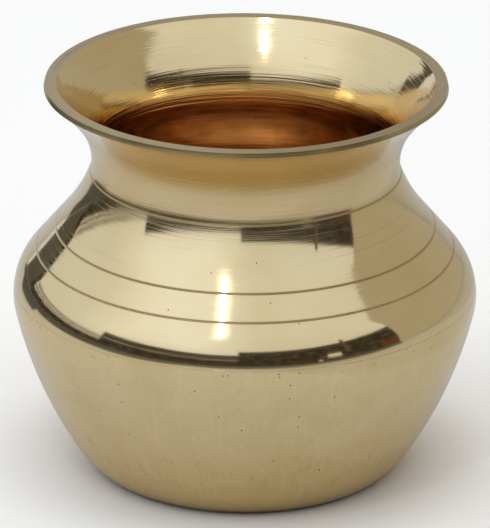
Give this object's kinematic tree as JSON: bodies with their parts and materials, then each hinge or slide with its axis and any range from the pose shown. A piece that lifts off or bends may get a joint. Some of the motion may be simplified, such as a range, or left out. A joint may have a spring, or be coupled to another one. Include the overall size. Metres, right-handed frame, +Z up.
{
  "type": "kalash pot",
  "caption": "Small round brass water pot with a waisted neck, a wide flat-topped lip, engraved lines around the shoulder and a brazed seam just above its widest girth.",
  "frame": {"origin": "centre of the flat face that the pot rests on", "axes": "+Z up along the pot's axis of turning, from the resting face to the mouth; the pot is round, so X and Y are any two directions across it"},
  "size_m": [0.102, 0.102, 0.0886],
  "materials": {
    "satin_brass": "satin, hand-rubbed up and down, with small casting pits",
    "turned_brass": "bright, lathe-turned and buffed, with fine turning lines",
    "braze_filler": "dull, slightly pitted brazing filler"
  },
  "bodies": {
    "root": {"lower_bowl": "satin_brass", "girth_braze": "braze_filler", "upper_shell": "turned_brass"}
  },
  "joints": []
}
